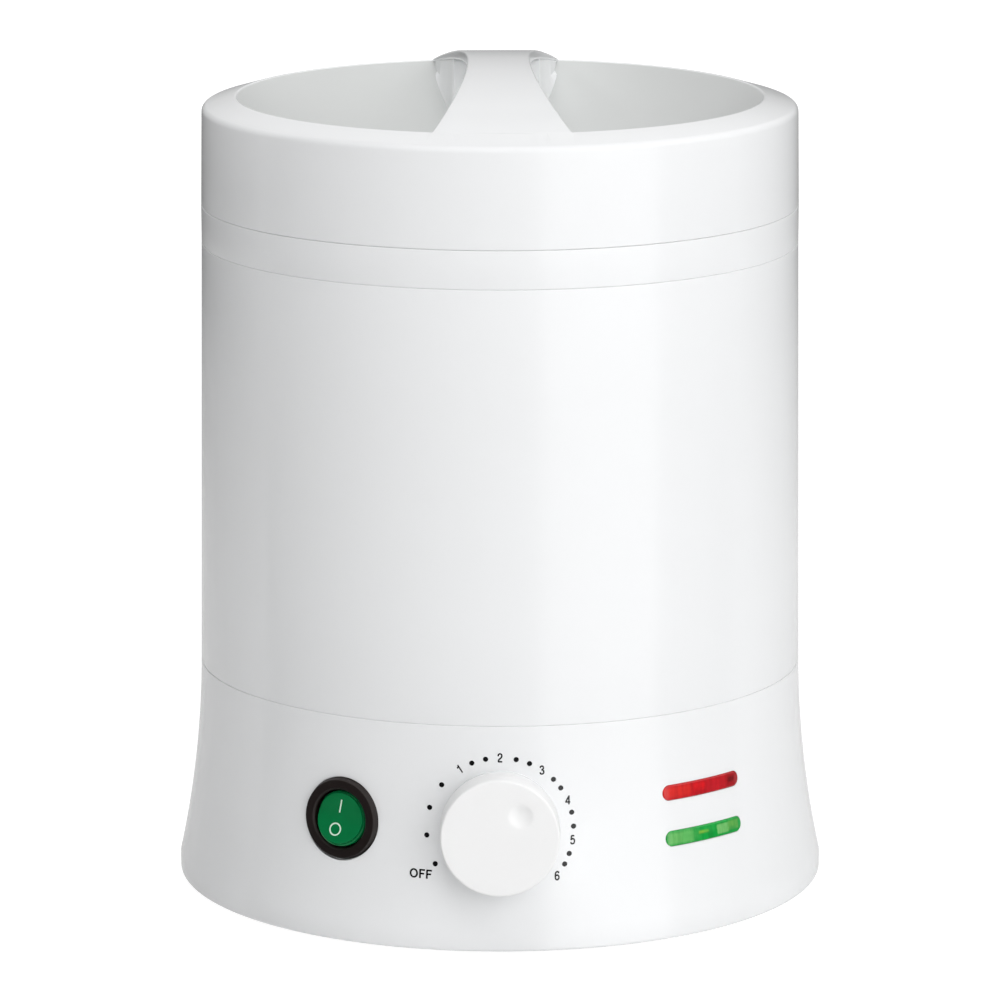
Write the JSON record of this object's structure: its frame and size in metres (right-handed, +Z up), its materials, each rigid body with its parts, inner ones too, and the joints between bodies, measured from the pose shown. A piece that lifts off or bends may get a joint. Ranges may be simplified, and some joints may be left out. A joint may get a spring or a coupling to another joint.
{
  "type": "wax warmer",
  "caption": "Round electric wax warmer: glossy body on a flared base with dial, rocker switch and lamp windows, lift-out pot, and a dished lid with a strap handle.",
  "frame": {"origin": "middle of the surface that the feet stand on, on the axis of the round body", "axes": "+Z up along the axis of the body, -Y the front with the dial, +X to the right seen from the front"},
  "size_m": [0.1968, 0.2041, 0.2506],
  "materials": {
    "white_plastic": "glossy white injection-moulded plastic",
    "satin_plastic": "satin white injection-moulded plastic",
    "dark_plastic": "satin brown-black moulded plastic",
    "green_rocker": "translucent green moulded plastic",
    "red_window": "translucent red moulded plastic",
    "green_window": "translucent green moulded plastic",
    "foot_rubber": "soft moulded rubber",
    "pot_aluminium": "drawn aluminium with a satin anodised surface",
    "plain_steel": "zinc-plated steel",
    "bright_steel": "bright plated steel wire",
    "contact_brass": "tinned brass",
    "heater_silicone": "silicone-faced heating element",
    "glass_wool": "glass-fibre blanket",
    "steatite": "unglazed steatite ceramic",
    "lamp_glass": "clear glass lamp bulbs",
    "board_laminate": "green glass-fibre circuit laminate",
    "live_insulation": "brown silicone wire insulation",
    "neutral_insulation": "blue silicone wire insulation",
    "earth_insulation": "green and yellow wire insulation",
    "copper": "copper capillary and bulb"
  },
  "bodies": {
    "housing": {"base_housing": "white_plastic", "body_shell": "white_plastic", "collar_ring": "white_plastic", "bottom_cover": "white_plastic", "rubber_feet": "foot_rubber", "cover_screws": "plain_steel", "body_screws": "plain_steel", "heating_well": "pot_aluminium", "heater_band": "heater_silicone", "heater_clamp": "plain_steel", "insulation_wrap": "glass_wool", "heat_shield": "plain_steel", "shield_screws": "plain_steel", "well_studs": "plain_steel", "well_spacers": "steatite", "well_nuts": "plain_steel", "thermostat_body": "plain_steel", "thermostat_screws": "plain_steel", "sensor_bulb": "copper", "bulb_clip": "plain_steel", "thermal_fuse": "plain_steel", "fuse_clip": "plain_steel", "switch_body": "dark_plastic", "switch_terminals": "contact_brass", "switch_lamp": "lamp_glass", "red_lens": "red_window", "green_lens": "green_window", "lamp_board": "board_laminate", "indicator_lamps": "lamp_glass", "board_screws": "plain_steel", "inlet_body": "dark_plastic", "inlet_pins": "contact_brass", "inlet_screws": "plain_steel", "inlet_nuts": "plain_steel", "terminal_block": "steatite", "terminal_screws": "contact_brass", "live_wires": "live_insulation", "neutral_wires": "neutral_insulation", "earth_wire": "earth_insulation", "earth_tag": "contact_brass"},
    "pot": {"wax_pot": "pot_aluminium", "pot_ears": "plain_steel", "ear_rivets": "plain_steel"},
    "bail": {"bail_handle": "bright_steel"},
    "lid": {"lid_shell": "white_plastic", "lid_liner": "satin_plastic", "lid_screws": "plain_steel"},
    "knob": {"control_knob": "satin_plastic", "knob_clip": "plain_steel", "thermostat_shaft": "plain_steel"},
    "rocker": {"rocker": "green_rocker"}
  },
  "joints": [
    {"name": "pot_lift", "type": "slide", "parent": "housing", "child": "pot", "axis": [0, 0, 1], "range_m": [0, 0.13]},
    {"name": "lid_lift", "type": "slide", "parent": "pot", "child": "lid", "axis": [0, 0, 1], "range_m": [0, 0.12]},
    {"name": "bail_swing", "type": "hinge", "parent": "pot", "child": "bail", "pos_m": [0, 0, 0.1997], "axis": [1, 0, 0], "range_deg": [0, 90]},
    {"name": "knob_turn", "type": "hinge", "parent": "housing", "child": "knob", "pos_m": [0, -0.0962, 0.0374], "axis": [0, 1, 0], "range_deg": [-158, 86]},
    {"name": "rocker_tilt", "type": "hinge", "parent": "housing", "child": "rocker", "pos_m": [-0.04649, -0.08052, 0.03683], "axis": [0.8506, -0.5021, -0.1561], "range_deg": [0, 16]}
  ],
  "couplings": [
    {"joint": "bail_swing", "follows": "lid_lift", "rad_per_m": 13.08}
  ]
}
